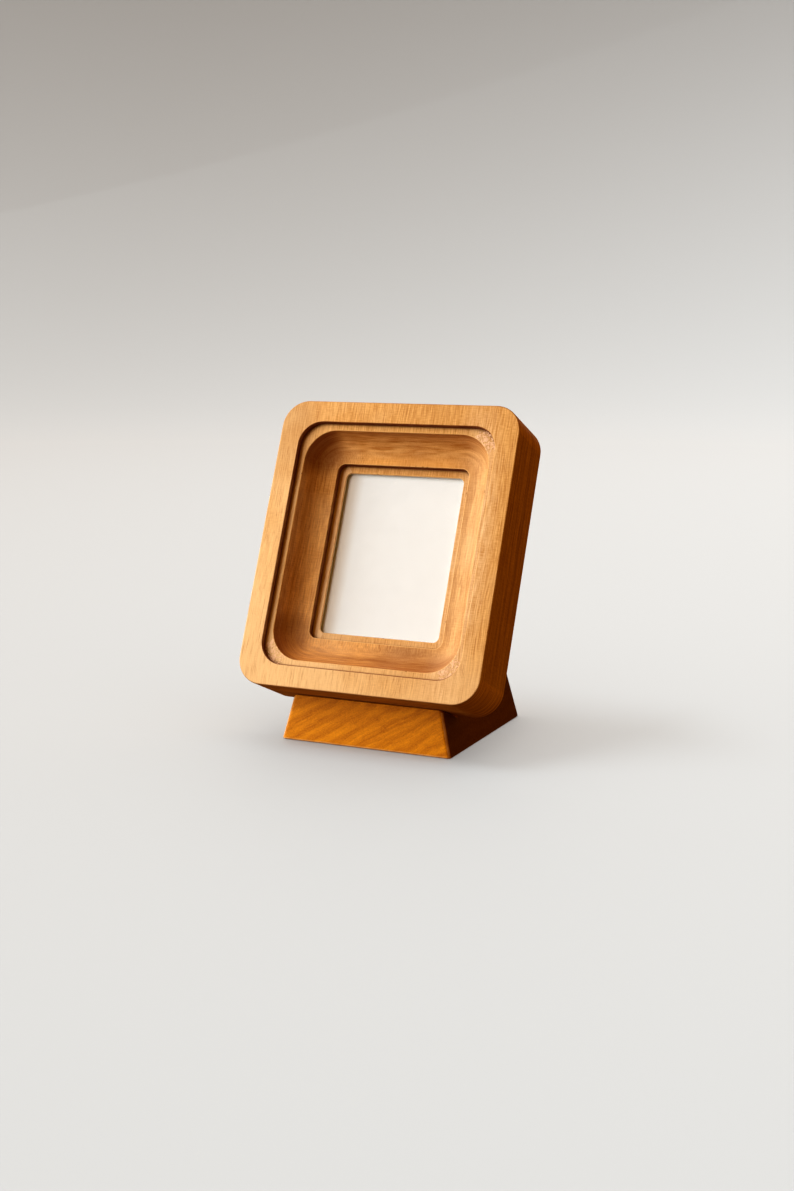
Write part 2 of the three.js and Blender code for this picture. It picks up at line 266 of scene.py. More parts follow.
recess_inset = rabbet_inset - recess_shelf


def quarter(start, end, sinks_first, steps):
    """A quarter round between two loops of (inset, depth, corner radius) that sinks or goes in first."""
    points = []
    for step in range(steps + 1):
        turn = step / steps * math.pi / 2
        across, down = math.sin(turn), 1 - math.cos(turn)
        if sinks_first:
            across, down = 1 - math.cos(turn), math.sin(turn)
        shares = (across, down, across)
        points.append(tuple(a + share * (b - a) for a, b, share in zip(start, end, shares)))
    return points


def eased(inset, depth, corner):
    """The rounded crest between a flat at a depth and the wall that goes down from it."""
    return quarter((inset - crest, depth, corner + crest), (inset, depth + crest, corner), False, 3)


def lean_back(piece):
    """Puts a piece that was modelled flat, face up and with its foot at y = 0, into the leaning frame."""
    bpy.ops.object.transform_apply(location=True, rotation=True, scale=True)
    piece.rotation_euler.x = math.pi / 2 - lean
    piece.location = board_foot
    bpy.ops.object.transform_apply(location=True, rotation=True, scale=True)


# Loops of the moulding from the outer edge to the sight edge. The walls of the steps run from a crest to a
# floor, and a floor has a second loop a hundredth of a millimetre higher, where the painted shade of the
# inner corner ends.
moulding = {
    "outer_round": quarter((0, edge_round, outer_corner), (edge_round, 0, face_corner), True, 4),
    "rim_crest": eased(rim, 0, pocket_corner),
    "ledge_floor": [
        (rim, pocket_depth, pocket_corner),
        (rim + corner_shade_reach, pocket_depth - corner_shade_rise, ledge_corner),
    ],
    "ledge_crest": eased(ledge_inset, pocket_depth, cove_corner),
    "cove": quarter(
        (ledge_inset, pocket_depth + crest, cove_corner),
        (cove_inset - crest, cove_floor, step_corner + crest),
        True,
        16,
    )[1:-1],
    "cove_crest": eased(cove_inset, cove_floor, step_corner),
    "sight_floor": [
        (cove_inset, step_floor, step_corner),
        (cove_inset + corner_shade_reach, step_floor - corner_shade_rise, corner_shade_loop_corner),
    ],
    "sight_crest": eased(sight_inset, step_floor, sight_corner),
}
front = [loop for strip in moulding.values() for loop in strip]
strip_names = [name for name, strip in moulding.items() for loop in strip]
# The flat faces behind dish by a fiftieth of a millimetre, so that the loops on them don't lie in one plane.
dish = 0.00002
back = [
    *quarter(
        (0, board_thickness - edge_round, outer_corner), (edge_round, board_thickness, face_corner), True, 4
    ),
    *quarter(
        (recess_inset - crest, board_thickness - dish, recess_corner + crest),
        (recess_inset, board_thickness - dish - crest, recess_corner),
        False,
        3,
    ),
    (recess_inset, recess_depth, recess_corner),
    (rabbet_inset, recess_depth - dish, rabbet_corner),
    (rabbet_inset, rabbet_floor, rabbet_corner),
    (sight_inset, rabbet_floor - dish, sight_corner),
]

bpy.ops.object.select_all(action="DESELECT")
bpy.ops.mesh.primitive_plane_add(size=1)
board = bpy.context.object
board.name = "frame_board_timber"
bpy.ops.object.mode_set(mode="EDIT")
bpy.ops.mesh.delete(type="VERT")
bmesh.from_edit_mesh(board.data).verts.layers.int.new("loop")
for count, (inset, depth, radius) in enumerate(front + back):
    bpy.ops.mesh.select_all(action="DESELECT")
    bpy.ops.mesh.primitive_plane_add(size=1, location=(0, board_height / 2, -depth))
    bpy.ops.transform.resize(
        value=(board_width - 2 * inset, board_height - 2 * inset, 1),
        center_override=(0, board_height / 2, -depth),
    )
    bpy.ops.mesh.bevel(offset=radius, segments=12, affect="VERTICES")
    shape = bmesh.from_edit_mesh(board.data)
    loop = shape.verts.layers.int["loop"]
    for vert in shape.verts:
        if vert.select:
            vert[loop] = count
    bpy.ops.mesh.delete(type="ONLY_FACE")
ring = [*range(len(front)), *reversed(range(len(front), len(front) + len(back)))]
for pair in zip(ring, ring[1:] + ring[:1]):
    loop = bmesh.from_edit_mesh(board.data).verts.layers.int["loop"]
    pick(
        board,
        "EDGE",
        lambda edge: edge.verts[0][loop] == edge.verts[1][loop] and edge.verts[0][loop] in pair,
    )
    bpy.ops.mesh.bridge_edge_loops()
bpy.ops.mesh.select_all(action="SELECT")
bpy.ops.mesh.normals_make_consistent(inside=False)

# Marks on the faces and floor loops, for the wood's colour: where it was cut, torn or rubbed, and where
# painted shade, a painted highlight or painted bounce light goes.
corner_across, corner_up = 0.0335, 0.041
highlight_from, left_ledge_to, left_ledge_share = 0.04, -0.024, 0.2
marks = ("crest", "wall", "side", "hollow", "sight", "corner", "bounce_light")
shape = bmesh.from_edit_mesh(board.data)
loop = shape.verts.layers.int["loop"]
layers = {name: shape.faces.layers.float.new(name) for name in marks}
corner_shade_layer = shape.verts.layers.float.new("corner_shade")
# The floor loops of the steps carry the painted shade of the inner corners.
corner_shade_loops = {strip_names.index("ledge_floor"), strip_names.index("sight_floor")}
for vert in shape.verts:
    vert[corner_shade_layer] = float(vert[loop] in corner_shade_loops)
# The step walls and the rim's crest take painted shade; on the right the rim's crest is left out.
walls = ({"rim_crest"}, {"rim_crest", "ledge_floor"}, {"cove_crest", "sight_floor"})
crests = ({"ledge_crest"}, {"cove_crest"}, {"sight_crest"})
for face in shape.faces:
    loops = {vert[loop] for vert in face.verts}
    strips = {strip_names[count] if count < len(front) else "back" for count in loops}
    middle = face.calc_center_median()
    above = middle.y - board_height / 2
    in_corner = abs(middle.x) > corner_across and abs(above) > corner_up
    top_left = middle.x < 0 and above > 0
    on_ledge = strips <= {"ledge_floor", "ledge_crest"}
    # On the right the rim's crest is painted pale as a highlight, and kept out of the walls' painted shade.
    right_rim_highlight = strips == {"rim_crest"} and middle.x > highlight_from
    in_sight = strips <= {"sight_floor", "sight_crest"}
    # The thin wall of the sight edge, and some of the sight ledge on the left, take painted bounce light.
    lip_wall = strips == {"sight_crest", "back"}
    left_sight_ledge = in_sight and middle.x < left_ledge_to
    face[layers["crest"]] = float(strips in crests or right_rim_highlight)
    face[layers["wall"]] = float(strips in walls and not right_rim_highlight)
    face[layers["side"]] = float(strips == {"outer_round", "back"})
    face[layers["hollow"]] = float("cove" in strips)
    face[layers["sight"]] = float(in_sight)
    face[layers["corner"]] = float(in_corner and on_ledge and not top_left)
    face[layers["bounce_light"]] = float(lip_wall) + left_ledge_share * left_sight_ledge
bmesh.update_edit_mesh(board.data)
bpy.ops.object.mode_set(mode="OBJECT")
lean_back(board)
smooth(board, 30)

# Oiled honey hardwood such as alder: upright fibres in fine light and dark streaks, short brown pores, and
# growth layers nearly level with the face, seen as lines on the sides and contours in the cove. Where the
# cutter crossed the fibres the wood drank more oil, and the crests are chipped and rubbed pale. Painted
# shade darkens the walls of the steps, their inner corners, the cove's left side and the board's top left,
# and painted light and sheen lighten the board low on the left, right of the opening and in the upper cove.
honey = new_material("oiled_honey_hardwood")
mark = {
    name: node(honey, "Attribute", {}, attribute_name=name).outputs["Fac"] for name in (*marks, "corner_shade")
}
place = node(honey, "TexCoord", {})
upright = Matrix.Rotation(lean - math.pi / 2, 3, "X")
board_space = node(
    honey,
    "Mapping",
    {
        "Vector": place.outputs["Object"],
        "Location": -1000 * (upright @ board_foot),
        "Rotation": (lean - math.pi / 2, 0, 0),
        "Scale": (1000, 1000, 1000),
    },
)
drift = node(honey, "TexNoise", {"Vector": board_space, "Scale": 0.022, "Detail": 2})
drift_offset = node(
    honey,
    "VectorMath",
    {0: drift.outputs["Color"], 1: (3, 0, 3), 2: board_space},
    operation="MULTIPLY_ADD",
)
# Streaks 0.4 mm wide and 12 mm long, fibres 0.28 mm wide and 8 mm long, and sanding marks across both.
streak_space = node(honey, "Mapping", {"Vector": drift_offset, "Scale": (1 / 0.4, 1 / 12, 1 / 0.4)})
streak = node(honey, "TexNoise", {"Vector": streak_space, "Scale": 1, "Detail": 2, "Roughness": 0.7})
fibre_space = node(honey, "Mapping", {"Vector": drift_offset, "Scale": (1 / 0.28, 1 / 8, 1 / 0.28)})
fibre = node(honey, "TexNoise", {"Vector": fibre_space, "Scale": 1, "Detail": 0})
along = node(honey, "Mix", {"Factor": 0.52, 2: streak, 3: fibre})
sanding_space = node(honey, "Mapping", {"Vector": board_space, "Scale": (1 / 2.5, 1 / 0.3, 1 / 2.5)})
sanding = node(honey, "TexNoise", {"Vector": sanding_space, "Scale": 1, "Detail": 0})
face_grain = node(honey, "Mix", {"Factor": 0.22, 2: along, 3: sanding})
# Where the cutter crossed the fibres at the ends, the grain shows as layer lines half a millimetre thick.
end_facing = node(honey, "VectorMath", {0: place.outputs["Normal"], 1: up}, operation="DOT_PRODUCT")
end_turn = node(honey, "Math", {0: end_facing}, operation="ABSOLUTE")
end_share = node(honey, "MapRange", {"Value": end_turn, "From Min": 0.08, "From Max": 0.45, "To Max": 0.85})
line_space = node(honey, "Mapping", {"Vector": drift_offset, "Scale": (1 / 9, 1 / 30, 1 / 0.5)})
layer_line = node(honey, "TexNoise", {"Vector": line_space, "Scale": 1, "Detail": 1, "Roughness": 0.8})
grain = node(honey, "Mix", {"Factor": end_share, 2: face_grain, 3: layer_line})
grain_tone = node(honey, "MapRange", {"Value": grain, "From Min": 0.32, "From Max": 0.68})
tone = node(
    honey, "Mix", {"Factor": grain_tone, 6: linear("#AE7B39"), 7: linear("#E1B46F")}, data_type="RGBA"
)
# The plank is paler in clouds some 30 mm across, and paler still low on the left, as painted light.
cloud = node(honey, "TexNoise", {"Vector": board_space, "Scale": 0.033, "Detail": 2})
low_left_light = node(honey, "VectorMath", {0: board_space, 1: (-0.0034, -0.0042, 0)}, operation="DOT_PRODUCT")
cloud_and_light = node(honey, "Math", {0: cloud, 1: low_left_light}, operation="ADD")
cloud_and_light_tone = node(honey, "MapRange", {"Value": cloud_and_light, "From Min": 0.1, "From Max": 0.53, "To Max": 0.62})
with_cloud_and_light = node(honey, "Mix", {"Factor": cloud_and_light_tone, 6: tone, 7: linear("#E8CC9C")}, data_type="RGBA")
# Pores are drawn 0.2 mm wide and 9 mm long, a little wider than real ones, so that they show.
pore_space = node(honey, "Mapping", {"Vector": drift_offset, "Scale": (1 / 0.2, 1 / 9, 1 / 0.2)})
pore = node(honey, "TexNoise", {"Vector": pore_space, "Scale": 1, "Detail": 1, "Roughness": 0.5})
pore_mask = node(honey, "MapRange", {"Value": pore, "From Min": 0.58, "From Max": 0.72, "To Max": 0.55})
with_pores = node(honey, "Mix", {"Factor": pore_mask, 6: with_cloud_and_light, 7: linear("#925618")}, data_type="RGBA")
# Oil goes in deeper where the cutter or the saw crossed the layers: in the cove, at the sides and at both
# ends. In the cove this darker tone is partly painted shade: it is strongest low on the left and fades out
# on the right.
low_left = node(honey, "VectorMath", {0: board_space, 1: (-1, -0.6, 0)}, operation="DOT_PRODUCT")
cove_tone_and_shade_share = node(honey, "MapRange", {"Value": low_left, "From Min": -55, "From Max": 25, "To Max": 0.6})
cove_tone_and_shade_amount = node(honey, "Math", {0: mark["hollow"], 1: cove_tone_and_shade_share}, operation="MULTIPLY")
hollow_tone = node(
    honey, "Mix", {"Factor": grain_tone, 6: linear("#8E5008"), 7: linear("#DC9628")}, data_type="RGBA"
)
with_cove_tone_and_shade = node(honey, "Mix", {"Factor": cove_tone_and_shade_amount, 6: with_pores, 7: hollow_tone}, data_type="RGBA")
# Soft oval patches: millimetres across and up the board, reach both ways, and share. Painted shadows darken
# the two left corners of the cove, and the cove is darker low right of centre. Above the picture painted
# light brightens the inner half of the cove. Right of the opening a painted sheen makes the wood pale, and
# painted shade darkens the rim's top left.
patches = []
for x, y, reach_x, reach_y, share in (
    (-36, 99, 13, 13, 0.52),
    (-35, 23, 11, 11, 0.4),
    (17, 16, 24, 9, 0.36),
    (4, 93.5, 34, 7.5, 0.42),
    (35, 58, 15.5, 75, 0.45),
    (-47, 106, 14, 30, 0.28),
):
    patch_space = node(
        honey,
        "Mapping",
        {
            "Vector": board_space,
            "Location": (-x / reach_x, -y / reach_y, 0),
            "Scale": (1 / reach_x, 1 / reach_y, 0),
        },
    )
    patch_far = node(honey, "VectorMath", {0: patch_space}, operation="LENGTH")
    patch = node(
        honey,
        "MapRange",
        {"Value": patch_far, "From Min": 0.4, "To Min": share, "To Max": 0},
        interpolation_type="SMOOTHSTEP",
    )
    patches.append(patch)
upper_left_shadow, lower_left_shadow, lower_right_dark, top_cove_light, right_sheen, upper_left_shade = patches
# Painted shadows in the cove's two left corners, and a darker patch low right of centre.
left_corner_shadows = node(honey, "Math", {0: upper_left_shadow, 1: lower_left_shadow}, operation="ADD")
cove_darkening = node(honey, "Math", {0: left_corner_shadows, 1: lower_right_dark}, operation="ADD")
cove_darkening_amount = node(honey, "Math", {0: cove_darkening, 1: mark["hollow"]}, operation="MULTIPLY")
with_cove_darkening = node(
    honey, "Mix", {"Factor": cove_darkening_amount, 6: with_cove_tone_and_shade, 7: linear("#5C2400")}, data_type="RGBA"
)
# Painted light on the inner half of the cove above the picture.
top_cove_light_amount = node(honey, "Math", {0: top_cove_light, 1: mark["hollow"]}, operation="MULTIPLY")
with_top_cove_light = node(
    honey, "Mix", {"Factor": top_cove_light_amount, 6: with_cove_darkening, 7: linear("#F4B458")}, data_type="RGBA"
)
sight_amount = node(honey, "Math", {0: mark["sight"], 1: 0.1}, operation="MULTIPLY")
with_sight = node(
    honey, "Mix", {"Factor": sight_amount, 6: with_top_cove_light, 7: linear("#A45A20")}, data_type="RGBA"
)
# A painted sheen makes the wood right of the opening pale, less so in the cove. The walls of the steps, with
# their painted shade, are left out.
sheen_grain = node(
    honey, "Mix", {"Factor": grain_tone, 6: linear("#CA9A5C"), 7: linear("#F6E2C2")}, data_type="RGBA"
)
sheen_tone = node(
    honey, "Mix", {"Factor": mark["hollow"], 6: sheen_grain, 7: linear("#CDB597")}, data_type="RGBA"
)
sheen_faces = node(honey, "MapRange", {"Value": mark["hollow"], "To Min": 1, "To Max": 0.5})
sheen_reach = node(honey, "Math", {0: sheen_faces, 1: mark["wall"]}, operation="SUBTRACT")
sheen_amount = node(honey, "Math", {0: right_sheen, 1: sheen_reach}, operation="MULTIPLY")
with_right_sheen = node(honey, "Mix", {"Factor": sheen_amount, 6: with_sight, 7: sheen_tone}, data_type="RGBA")
# Painted shade on the board's top left, over the rim.
with_upper_left_shade = node(honey, "Mix", {"Factor": upper_left_shade, 6: with_right_sheen, 7: linear("#8C5E26")}, data_type="RGBA")
end_reach = node(honey, "MapRange", {"Value": mark["hollow"], "To Min": 0.72, "To Max": 0.35})
end_amount = node(honey, "MapRange", {"Value": end_turn, "From Min": 0.02, "To Max": end_reach})
end_tone = node(
    honey, "Mix", {"Factor": mark["hollow"], 6: linear("#86440E"), 7: linear("#A85004")}, data_type="RGBA"
)
with_ends = node(honey, "Mix", {"Factor": end_amount, 6: with_upper_left_shade, 7: end_tone}, data_type="RGBA")
side_amount = node(honey, "Math", {0: mark["side"], 1: 0.6}, operation="MULTIPLY")
side_tone = node(
    honey, "Mix", {"Factor": grain_tone, 6: linear("#C48236"), 7: linear("#FFC05A")}, data_type="RGBA"
)
with_sides = node(honey, "Mix", {"Factor": side_amount, 6: with_ends, 7: side_tone}, data_type="RGBA")
# Growth layers of uneven width, about 1.5 mm, nearly level with the face. They show as lines on the sides
# and as contours in the cove.
layer_space = node(honey, "Mapping", {"Vector": drift_offset, "Scale": (0.02, 0.008, 1 / 1.5)})
growth = node(honey, "TexNoise", {"Vector": layer_space, "Scale": 1, "Detail": 3, "Roughness": 0.6})
growth_tone = node(honey, "MapRange", {"Value": growth, "From Min": 0.42, "From Max": 0.62})
crossed = node(honey, "Math", {0: mark["hollow"], 1: 0.65, 2: mark["side"]}, operation="MULTIPLY_ADD")
growth_share = node(honey, "MapRange", {"Value": crossed, "To Min": 0.06, "To Max": 0.42})
growth_amount = node(honey, "Math", {0: growth_tone, 1: growth_share}, operation="MULTIPLY")
with_growth = node(
    honey, "Mix", {"Factor": growth_amount, 6: with_sides, 7: linear("#7E460A")}, data_type="RGBA"
)
# Painted shade darkens the walls of the steps, in blotches some 8 mm long.
wall_shade_noise = node(honey, "TexNoise", {"Vector": board_space, "Scale": 0.12, "Detail": 3})
wall_shade_mask = node(
    honey, "MapRange", {"Value": wall_shade_noise, "From Min": 0.3, "From Max": 0.7, "To Min": 0.5, "To Max": 0.9}
)
wall_shade_amount = node(honey, "Math", {0: mark["wall"], 1: wall_shade_mask}, operation="MULTIPLY")
with_wall_shade = node(
    honey, "Mix", {"Factor": wall_shade_amount, 6: with_growth, 7: linear("#602404")}, data_type="RGBA"
)
# Painted shade darkens the inner corners under the walls, within a millimetre.
corner_shade_amount = node(honey, "MapRange", {"Value": mark["corner_shade"], "From Min": 0.25, "To Max": 0.7})
with_corner_shade = node(
    honey, "Mix", {"Factor": corner_shade_amount, 6: with_wall_shade, 7: linear("#5A2404")}, data_type="RGBA"
)
# The cutter tore the fibres where the ledge widens at the corners, and left them pale and rough, in tufts
# of about 1.4 mm. The top left corner is left without them and stays darker, as painted shade.
torn = node(honey, "TexNoise", {"Vector": board_space, "Scale": 0.7, "Detail": 4, "Distortion": 1.5})
torn_mask = node(honey, "MapRange", {"Value": torn, "From Min": 0.44, "From Max": 0.58, "To Max": 0.8})
torn_amount = node(honey, "Math", {0: mark["corner"], 1: torn_mask}, operation="MULTIPLY")
with_torn = node(
    honey, "Mix", {"Factor": torn_amount, 6: with_corner_shade, 7: linear("#F0CAA8")}, data_type="RGBA"
)
# The crests: rubbed pale, with brown chips a millimetre or two long. The rim's crest on the right is pale as
# a painted highlight.
rub_and_highlight = node(honey, "Math", {0: mark["crest"], 1: 0.4}, operation="MULTIPLY")
with_rub_and_highlight = node(honey, "Mix", {"Factor": rub_and_highlight, 6: with_torn, 7: linear("#F0C884")}, data_type="RGBA")
chip = node(honey, "TexNoise", {"Vector": board_space, "Scale": 0.5, "Detail": 2})
chip_mask = node(honey, "MapRange", {"Value": chip, "From Min": 0.66, "From Max": 0.74, "To Max": 0.8})
chip_amount = node(honey, "Math", {0: mark["crest"], 1: chip_mask}, operation="MULTIPLY")
with_chips = node(honey, "Mix", {"Factor": chip_amount, 6: with_rub_and_highlight, 7: linear("#6A3810")}, data_type="RGBA")
# Painted bounce light from the card brightens the thin wall of the sight edge, and a little of the sight
# ledge on the left.
bounce_light_amount = node(honey, "Math", {0: mark["bounce_light"], 1: 0.9}, operation="MULTIPLY")
honey_colour = node(
    honey, "Mix", {"Factor": bounce_light_amount, 6: with_chips, 7: linear("#FFEED0")}, data_type="RGBA"
)
face_rough = node(
    honey, "MapRange", {"Value": grain, "From Min": 0.35, "From Max": 0.65, "To Min": 0.66, "To Max": 0.52}
)
honey_rough = node(honey, "Mix", {"Factor": mark["side"], 2: face_rough, 3: 0.8})
pore_bump = node(honey, "Bump", {"Height": pore_mask, "Strength": 0.5, "Distance": 0.00008}, invert=True)
grain_bump = node(
    honey, "Bump", {"Height": grain, "Strength": 0.35, "Distance": 0.00008, "Normal": pore_bump}
)
honey_bump = node(
    honey, "Bump", {"Height": torn_amount, "Strength": 0.8, "Distance": 0.0002, "Normal": grain_bump}
)
honey_shader = node(
    honey,
    "BsdfPrincipled",
    {
        "Base Color": honey_colour,
        "Roughness": honey_rough,
        "Normal": honey_bump,
        "IOR": 1.45,
        "Specular IOR Level": 0.2,
    },
)
node(honey, "OutputMaterial", {"Surface": honey_shader})
board.data.materials.append(honey)
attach(board, "frame")
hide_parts("frame_body")


# Glazing. A thin clear acrylic sheet, laser cut with rounded corners, loose in the rabbet behind the sight
# lip. Cleaning has left a faint haze on it, in patches about a centimetre across.
def dress(name, material):
    """Gives a piece that is kept from the CAD its material."""
    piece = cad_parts[name]
    piece.data.materials.clear()
    piece.data.materials.append(material)


acrylic = new_material("clear_acrylic")
place = node(acrylic, "TexCoord", {})
haze = node(acrylic, "TexNoise", {"Vector": place.outputs["Object"], "Scale": 90, "Detail": 5})
haze_rough = node(
    acrylic, "MapRange", {"Value": haze, "From Min": 0.35, "From Max": 0.7, "To Min": 0.03, "To Max": 0.14}
)
acrylic_shader = node(
    acrylic,
    "BsdfPrincipled",
    {"Base Color": linear("#F4F8F8"), "Roughness": haze_rough, "IOR": 1.49, "Alpha": 0.02},
)
node(acrylic, "OutputMaterial", {"Surface": acrylic_shader})
dress("glazing_pane", acrylic)


# Picture. A blank white mount card, cut to the rabbet and held between glazing and backing. Its matt paper
# has a faint tooth of 0.7 mm and clouds some 5 mm across, as the pulp settled. Along the left edge painted
# shade browns it, and the strip under the lip is kept white as painted light.
card_shade_from, card_shade_to = -0.0242, -0.0172
unshaded_from, unshaded_to = -0.0264, -0.0252
paper = new_material("matt_white_card")
place = node(paper, "TexCoord", {})
tooth = node(
    paper, "TexNoise", {"Vector": place.outputs["Object"], "Scale": 1400, "Detail": 3, "Roughness": 0.6}
)
pulp_cloud = node(paper, "TexNoise", {"Vector": place.outputs["Object"], "Scale": 180, "Detail": 3})
formation = node(paper, "Mix", {"Factor": 0.7, 2: tooth, 3: pulp_cloud})
paper_colour = node(
    paper, "Mix", {"Factor": formation, 6: linear("#D5E2EC"), 7: linear("#E1EEF8")}, data_type="RGBA"
)
across = node(paper, "SeparateXYZ", {0: place.outputs["Object"]}).outputs["X"]
# Painted shade browns the card along its left edge, and the strip under the lip is left white as painted
# light.
card_shade_ramp = node(
    paper,
    "MapRange",
    {"Value": across, "From Min": card_shade_from, "From Max": card_shade_to, "To Min": 0.47, "To Max": 0},
    interpolation_type="SMOOTHSTEP",
)
unshaded_strip = node(paper, "MapRange", {"Value": across, "From Min": unshaded_from, "From Max": unshaded_to})
card_shade_amount = node(paper, "Math", {0: card_shade_ramp, 1: unshaded_strip}, operation="MULTIPLY")
with_card_shade = node(paper, "Mix", {"Factor": card_shade_amount, 6: paper_colour, 7: linear("#A0824C")}, data_type="RGBA")
paper_bump = node(paper, "Bump", {"Height": tooth, "Strength": 0.08, "Distance": 0.00001})
paper_shader = node(
    paper, "BsdfPrincipled", {"Base Color": with_card_shade, "Roughness": 0.85, "Normal": paper_bump, "IOR": 1.4}
)
node(paper, "OutputMaterial", {"Surface": paper_shader})
dress("picture_print", paper)


# Backing board. A sheet of hardboard, sawn to the rabbet's size with rounded corners. It lies loose behind
# the picture, with the side that was pressed on a wire screen facing out.
backing_width, backing_height, backing_corner = 0.0571, 0.0721, 0.0029
backing_depth, backing_thickness, backing_edge = 0.01775, 0.003, 0.0002
sharp_edge = 1.2  # radians
bpy.ops.object.select_all(action="DESELECT")
bpy.ops.mesh.primitive_plane_add(size=1, location=(0, board_height / 2, -backing_depth - backing_thickness))
backing = bpy.context.object
backing.name = "backing_hardboard"
bpy.ops.object.mode_set(mode="EDIT")
bpy.ops.transform.resize(value=(backing_width, backing_height, 1))
bpy.ops.mesh.bevel(offset=backing_corner, segments=10, affect="VERTICES")
bpy.ops.mesh.extrude_region_move(TRANSFORM_OT_translate={"value": (0, 0, backing_thickness)})
bpy.ops.mesh.select_all(action="SELECT")
bpy.ops.mesh.normals_make_consistent(inside=False)
pick(backing, "EDGE", lambda edge: len(edge.link_faces) == 2 and edge.calc_face_angle() > sharp_edge)
bpy.ops.mesh.bevel(offset=backing_edge, segments=2)
bpy.ops.object.mode_set(mode="OBJECT")
lean_back(backing)
smooth(backing, 30)

# Hardboard: pressed brown wood fibre, matt and speckled by 0.6 mm, with the weave of the wire screen printed
# into it. Its wires lie 1.1 mm apart.
hardboard = new_material("screen_pressed_hardboard")
place = node(hardboard, "TexCoord", {})
sheet_space = node(
    hardboard,
    "Mapping",
    {"Vector": place.outputs["Object"], "Rotation": (lean - math.pi / 2, 0, 0), "Scale": (1000, 1000, 1000)},
)
wires = []
for direction in ("X", "Y"):
    wire = node(
        hardboard,
        "TexWave",
        {"Vector": sheet_space, "Scale": wave_gap / 1.1, "Distortion": 0.6, "Detail": 1},
        bands_direction=direction,
    )
    wires.append(wire.outputs["Fac"])
screen = node(hardboard, "Math", {0: wires[0], 1: wires[1]}, operation="MULTIPLY")
pulp = node(hardboard, "TexNoise", {"Vector": sheet_space, "Scale": 1.6, "Detail": 5, "Roughness": 0.7})
pulp_tone = node(hardboard, "MapRange", {"Value": pulp, "From Min": 0.36, "From Max": 0.64})
pulp_colour = node(
    hardboard, "Mix", {"Factor": pulp_tone, 6: linear("#6B4526"), 7: linear("#9A6E44")}, data_type="RGBA"
)
hardboard_colour = node(
    hardboard, "Mix", {"Factor": screen, 6: pulp_colour, 7: linear("#A77C50")}, data_type="RGBA"
)
screen_bump = node(hardboard, "Bump", {"Height": screen, "Strength": 0.7, "Distance": 0.00012})
hardboard_shader = node(
    hardboard,
    "BsdfPrincipled",
    {"Base Color": hardboard_colour, "Roughness": 0.8, "Normal": screen_bump, "IOR": 1.45},
)
node(hardboard, "OutputMaterial", {"Surface": hardboard_shader})
backing.data.materials.append(hardboard)
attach(backing, "frame")
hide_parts("backing_board")


# Turn buttons. Four teardrop plates stamped from brass sheet, with a punched hole at the heel and tumbled
# edges. Each turns on its screw, and its tip lies over the backing.
button_thickness, button_depth, button_reach = 0.0012, 0.02105, 0.0069
heel_radius, tip_radius, button_hole, button_edge = 0.0036, 0.0023, 0.0014, 0.0002
button_x, button_heights = 0.03335, {"upper": 0.0785, "lower": 0.0385}
punch_length = 0.01


def fit_copy(pattern, name, turn, spot):
    """Copies a brass piece, turns it and puts it at its spot behind the leaning frame."""
    bpy.ops.object.select_all(action="DESELECT")
    pattern.select_set(True)
    bpy.context.view_layer.objects.active = pattern
    bpy.ops.object.duplicate()
    copy = bpy.context.object
    copy.name = name
    copy.rotation_euler = turn
    copy.location = spot
    lean_back(copy)
    smooth(copy, 30)
    return copy


bpy.ops.object.select_all(action="DESELECT")
bpy.ops.mesh.primitive_cylinder_add(vertices=48, radius=heel_radius, depth=button_thickness)
button = bpy.context.object
bpy.ops.object.mode_set(mode="EDIT")
bpy.ops.mesh.primitive_cylinder_add(
    vertices=48, radius=tip_radius, depth=button_thickness, location=(button_reach, 0, 0)
)
bpy.ops.mesh.select_all(action="SELECT")
bpy.ops.mesh.convex_hull()
bpy.ops.mesh.dissolve_limited(angle_limit=math.radians(1))
bpy.ops.object.mode_set(mode="OBJECT")
bpy.ops.object.select_all(action="DESELECT")
bpy.ops.mesh.primitive_cylinder_add(vertices=40, radius=button_hole, depth=punch_length)
punch = bpy.context.object
cut_away(button, punch)
button.select_set(True)
bpy.ops.object.mode_set(mode="EDIT")
pick(button, "EDGE", lambda edge: edge.calc_face_angle(0) > sharp_edge)
bpy.ops.mesh.bevel(offset=button_edge, segments=3)
bpy.ops.object.mode_set(mode="OBJECT")

# Tumbled brass: warm yellow metal with a soft shine, scratches along the sheet, 0.1 mm wide and 1.7 mm long,
# and a little brown tarnish in spots of 2.4 mm.
brass = new_material("tumbled_brass")
place = node(brass, "TexCoord", {})
tarnish = node(
    brass, "TexNoise", {"Vector": place.outputs["Object"], "Scale": 420, "Detail": 4, "Roughness": 0.6}
)
tarnish_tone = node(brass, "MapRange", {"Value": tarnish, "From Min": 0.48, "From Max": 0.75, "To Max": 0.6})
brass_colour = node(
    brass, "Mix", {"Factor": tarnish_tone, 6: linear("#E6C474"), 7: linear("#A97E3C")}, data_type="RGBA"
)
scratch_space = node(brass, "Mapping", {"Vector": place.outputs["Object"], "Scale": (600, 9000, 9000)})
scratch = node(brass, "TexNoise", {"Vector": scratch_space, "Scale": 1, "Detail": 2})
brass_rough = node(
    brass, "MapRange", {"Value": tarnish, "From Min": 0.3, "From Max": 0.7, "To Min": 0.34, "To Max": 0.5}
)
brass_bump = node(brass, "Bump", {"Height": scratch, "Strength": 0.15, "Distance": 0.00002})
brass_shader = node(
    brass,
    "BsdfPrincipled",
    {"Base Color": brass_colour, "Metallic": 1, "Roughness": brass_rough, "Normal": brass_bump},
)
node(brass, "OutputMaterial", {"Surface": brass_shader})
button.data.materials.append(brass)

